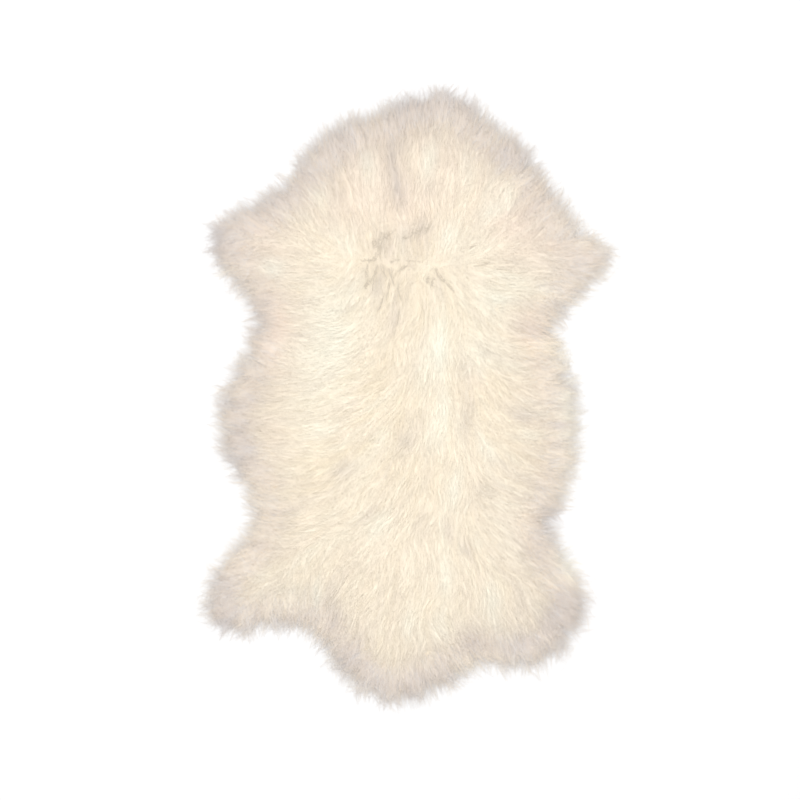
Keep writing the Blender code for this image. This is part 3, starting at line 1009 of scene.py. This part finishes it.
def makeWool(look, material):
    rng = np.random.default_rng(look["seed"])
    x, y = lockPlaces(look, rng)
    locks, points = len(x), look["segments"] + 1
    turn = look["tuftTurn"] * waves(x, y, look["turnSize"], look["seed"] + 1)
    turn += look["lockTurn"] * rng.normal(size=locks)
    unruly = waves(x, y, comb["partingSize"], comb["partingSeed"])
    turn += comb["partingTurn"] * onMap(mapUnrest, x, y) * unruly
    length = look["length"] * (1 + look["lengthSpread"] * rng.uniform(-1, 1, locks))
    length *= 1 + look["lengthSwell"] * waves(x, y, look["lengthSize"], look["seed"] + 2)
    paths = lockPaths(x, y, turn, length, points)
    raised = 0.8 * waves(x, y, look["layerSize"], look["seed"] + 3)
    layer = look["lift"] * (raised + 0.7 * rng.normal(size=locks))
    warm = look["lockWarm"] * rng.normal(size=locks)
    tuft = look["tuftSize"]
    grey = look["lockGrey"] * (waves(x, y, tuft, 94) + 0.5 * rng.normal(size=locks))
    pale = look["lockPale"] * (waves(x, y, tuft, 95) + 0.5 * rng.normal(size=locks))

    own = np.repeat(np.arange(locks), look["strandsInLock"])
    count = len(own)
    along = np.linspace(0, 1, points)[None]
    scatter = rng.normal(size=(count, 2)) * look["lockRadius"] * look["lockScatter"]
    kept = np.interp(onMap(mapAway, x, y), look["gatherInsets"], (look["rimGather"], 1))
    gather = look["gather"] * kept + look["gatherSpread"] * rng.normal(size=locks)
    gather = np.clip(gather, 0, 0.9)[own, None]
    stretch = rng.uniform(*look["stretch"], count)[:, None, None]
    strandTurn = look["strandTurn"] * rng.normal(size=(count, 1))
    base = paths[own, :1] + turned(paths[own] - paths[own, :1], strandTurn) * stretch
    base = base + scatter[:, None] * (1 - gather * along**0.8)[..., None]
    way = unit(base[:, -1] - base[:, 0])
    aside = np.stack([-way[:, 1], way[:, 0]], 1)
    phase = rng.uniform(0, 2 * math.pi, (count, 1))
    bends = np.sin(phase + along * rng.uniform(*look["bends"], (count, 1)))
    curl = rng.gamma(2.2, look["curl"] * 0.45, (count, 1)) * bends
    base = base + aside[:, None] * (curl * (0.35 + along))[..., None]

    # tips that would pass the outline are drawn back to a place just within it
    tipX, tipY = base[:, -1, 0], base[:, -1, 1]
    over = -onMap(mapAway, tipX, tipY) - rng.uniform(-look["pastTips"], 0.0, count)
    base = base - onMap(mapOut, tipX, tipY)[:, None] * np.maximum(over, 0)[:, None, None]

    surface = onMap(mapHeight, base[..., 0], base[..., 1])
    back = strandShape["rootShare"]
    sunk = look["sunk"] + look["rootDepth"] * np.clip(1 - along / back, 0, 1) ** 1.4
    lift = layer[own, None] + rng.uniform(*look["tipLift"], (count, 1)) * along**1.5
    wobble = look["wobble"] * np.sin(phase * 1.7 + along * rng.uniform(3.0, 7.0, (count, 1)))
    height = np.maximum(surface - sunk + lift + wobble, look["lowest"])
    shape = np.interp(along, strandShape["widthSteps"], look["widths"])
    radii = 0.5 * look["thickness"] * shape * rng.uniform(*look["radiusSpread"], (count, 1))
    values = {
        "warm": warm[own] + look["strandWarm"] * rng.normal(size=count),
        "grey": np.maximum(grey[own], 0),
        "pale": np.maximum(pale[own], 0),
    }
    makeInPieces(look, base, height, radii, values, material)


rimWool = {
    "name": "rimWool",
    "seed": 71,
    "tufts": 3200,
    "strandsInTuft": 4,
    "loose": 3200,  # single hairs between the tufts
    "segments": 2,
    "length": 0.038,
    "thickness": 0.00048,
    "reach": (-0.027, 0.022),  # where tips lie, from inside the line of the lock tips to outside it
    "thinning": (1.2, 2.1),  # fewer and fewer tips towards the outside
    "tuftWidth": 0.0013,
    "tuftGather": 0.6,
    "tuftTurn": 0.24,
    "looseTurn": 0.25,
    "combShare": 0.9,
    "hairPaintedShade": 0.20,  # painted shade, more than the coat has there
    "hairPale": 0.25,
    "hairWarm": 0.2,
    "swaySize": 0.022,
    "edgeSize": 0.013,  # of the small bays and points of the edge
    "edgeDepth": 0.0015,
    "curl": 0.0005,
    "widths": (0.8, 1, 0.75, 0),
    "radiusSpread": (0.6, 1.35),
}
# the same with single hairs alone, finer, straighter and many more
rimHaze = {
    **rimWool,
    "name": "rimHaze",
    "seed": 72,
    "tufts": 0,
    "loose": 27000,
    "segments": 1,
    "thickness": 0.00052,
    "reach": (-0.028, 0.028),
    "thinning": (1.25, 2.7),
}


# Fine wool all round the edge, that hangs out over the floor and thins towards its tips
def makeRimWool(look, material):
    rng = np.random.default_rng(look["seed"])
    tufts = look["tufts"] + look["loose"]
    own = np.concatenate([
        np.repeat(np.arange(look["tufts"]), look["strandsInTuft"]),
        np.arange(look["tufts"], tufts),
    ])
    count = len(own)
    inTuft = own < look["tufts"]
    line = outward * tipRadius[:, None]
    pieces = np.linalg.norm(np.roll(line, -1, 0) - line, axis=1)
    passed = np.concatenate([[0], np.cumsum(pieces)])
    turns = np.linspace(0, 2 * math.pi, len(passed))
    turn = np.interp(rng.uniform(0, passed[-1], tufts), passed, turns)
    edge = np.stack([np.cos(turn), np.sin(turn)], 1) * radiusAt(tipRadius, turn)[:, None]
    out = unit(onMap(mapOut, *edge.T))
    flow = combWay(*edge.T)
    outwards = np.clip((flow * out).sum(1, keepdims=True), 0, 1)
    sway = waves(*edge.T, look["swaySize"], look["seed"] + 1) + 0.7 * rng.normal(size=tufts)
    way = turned(unit(out + look["combShare"] * flow * outwards), look["tuftTurn"] * sway)
    low, high = look["reach"]
    over = low + (high - low) * rng.beta(*look["thinning"], tufts)
    over += look["edgeDepth"] * waves(*edge.T, look["edgeSize"], look["seed"] + 2)
    level = rng.uniform(0.15, 1.03, tufts)

    way = turned(way[own], np.where(inTuft, 0.05, look["looseTurn"]) * rng.normal(size=count))
    aside = np.stack([-way[:, 1], way[:, 0]], 1)
    over = over[own] - inTuft * rng.gamma(1.5, 0.0016, count)
    length = look["length"] * rng.uniform(0.65, 1.2, count)
    along = np.linspace(0, 1, look["segments"] + 1)[None]
    tips = edge[own] + out[own] * over[:, None]
    base = tips[:, None] - way[:, None] * (length[:, None] * (1 - along))[..., None]
    apart = look["tuftWidth"] * inTuft * rng.normal(size=count)
    apart = apart[:, None] * (1 - look["tuftGather"] * along**1.5)
    phase = rng.uniform(0, 2 * math.pi, (count, 1))
    curl = rng.gamma(2.0, look["curl"], (count, 1))
    curl = curl * np.sin(phase + along * rng.uniform(3, 7, (count, 1)))
    base = base + aside[:, None] * (apart + curl * (0.3 + along))[..., None]
    surface = onMap(mapHeight, base[..., 0], base[..., 1])
    least = 0.0012 + 0.004 * rng.uniform(0, 1, (count, 1)) * along
    height = np.maximum(surface * level[own, None] * (1 - 0.2 * along), least)
    shape = np.interp(along, strandShape["widthSteps"], look["widths"])
    radii = 0.5 * look["thickness"] * shape * rng.uniform(*look["radiusSpread"], (count, 1))
    values = {
        "warm": look["hairWarm"] * rng.normal(size=count),
        "grey": rng.normal(look["hairPaintedShade"], 0.12, count),
        "pale": np.full(count, look["hairPale"]),
    }
    makeInPieces(look, base, height, radii, values, material)


curls = {
    "name": "loneCurls",
    "seed": 83,
    "segments": 14,
    "strands": 3,
    "thickness": 0.0008,
    "lift": 0.0013,
    "apart": 0.0006,
    "grey": (0.56, 0.48, 0.375),
    # across, along, length, size of its loops (mm), the way that it points (degrees), loops
    "places": (
        (-60, 206, 20, 1.8, 0, 3.0), (-47, 214, 20, 3.2, 62, 2.5), (-50, 228, 18, 3.6, 108, 2.5),
        (-41, 238, 18, 3.2, 75, 2.0), (-44, 221, 14, 2.6, 80, 2.0), (-30, 244, 18, 2.2, 35, 2.0),
        (-3, 240, 16, 1.8, 20, 1.5), (14, 250, 18, 2.0, 25, 2.0), (28, 254, 16, 2.2, 60, 1.5),
        (-8, 196, 18, 2.4, 35, 2.0), (8, 205, 24, 1.2, -8, 1.0), (-20, 206, 16, 1.6, 10, 1.0),
        (-62, 190, 26, 1.6, 265, 1.5), (-50, 186, 22, 1.8, 250, 1.5), (-37, 189, 24, 1.2, 295, 1.0),
        (-53, 170, 24, 1.4, 268, 1.0), (-25, 181, 26, 1.0, 282, 0.5), (-62, 168, 16, 2.4, 240, 2.0),
        (42, 188, 16, 1.2, 292, 1.0), (36, 172, 18, 2.0, 250, 1.5), (50, 178, 16, 2.4, 320, 2.0),
        (28, 176, 12, 1.8, 260, 1.5), (-30, 160, 30, 1.0, 262, 0.5), (-14, 156, 28, 1.2, 270, 1.0),
        (-42, 140, 26, 1.0, 255, 0.5), (62, 166, 18, 1.8, 310, 1.5), (110, 198, 26, 0.9, 2, 0.5),
        (96, 226, 16, 1.4, 30, 1.0), (-16, 118, 26, 1.0, 262, 0.5),
    ),
}


# Darker hairs that curl loose on top, round the parting
def makeCurls(look, material):
    rng = np.random.default_rng(look["seed"])
    rows = np.repeat(np.array(look["places"], float), look["strands"], 0)
    count = len(rows)
    along = np.linspace(0, 1, look["segments"] + 1)[None]
    middle = rows[:, :2] / 1000 + look["apart"] * rng.normal(size=(count, 2))
    length, size = rows[:, 2:3] / 1000 * rng.uniform(0.8, 1.1, (count, 1)), rows[:, 3:4] / 1000
    turn = np.radians(rows[:, 4]) + 0.08 * rng.normal(size=count)
    way = np.stack([np.cos(turn), np.sin(turn)], 1)
    aside = np.stack([-way[:, 1], way[:, 0]], 1)
    winding = 2 * math.pi * (rows[:, 5:6] * along + rng.uniform(0, 1, (count, 1)))
    ahead = length * (along - 0.5) + size * np.cos(winding)
    across = size * np.sin(winding)
    base = middle[:, None] + way[:, None] * ahead[..., None] + aside[:, None] * across[..., None]
    height = onMap(mapHeight, base[..., 0], base[..., 1])
    height += look["lift"] * rng.uniform(0.4, 1, (count, 1))
    shape = np.interp(along, (0, 0.2, 0.8, 1), (0.4, 1, 0.8, 0))
    radii = 0.5 * look["thickness"] * shape * np.ones((count, 1))
    makeInPieces(look, base, height, radii, {"grey": np.ones(count)}, material)


creamWool = makeWoolMaterial("creamWool", woolLook["grey"])
# the edge hairs mix towards a cooler painted shade
edgeWool = makeWoolMaterial("edgeWool", woolLook["rimPaintedShade"])
makeWool(baseWool, creamWool)
makeWool(topWool, creamWool)
makeRimWool(rimWool, edgeWool)
makeRimWool(rimHaze, edgeWool)
makeCurls(curls, makeWoolMaterial("curlWool", curls["grey"]))
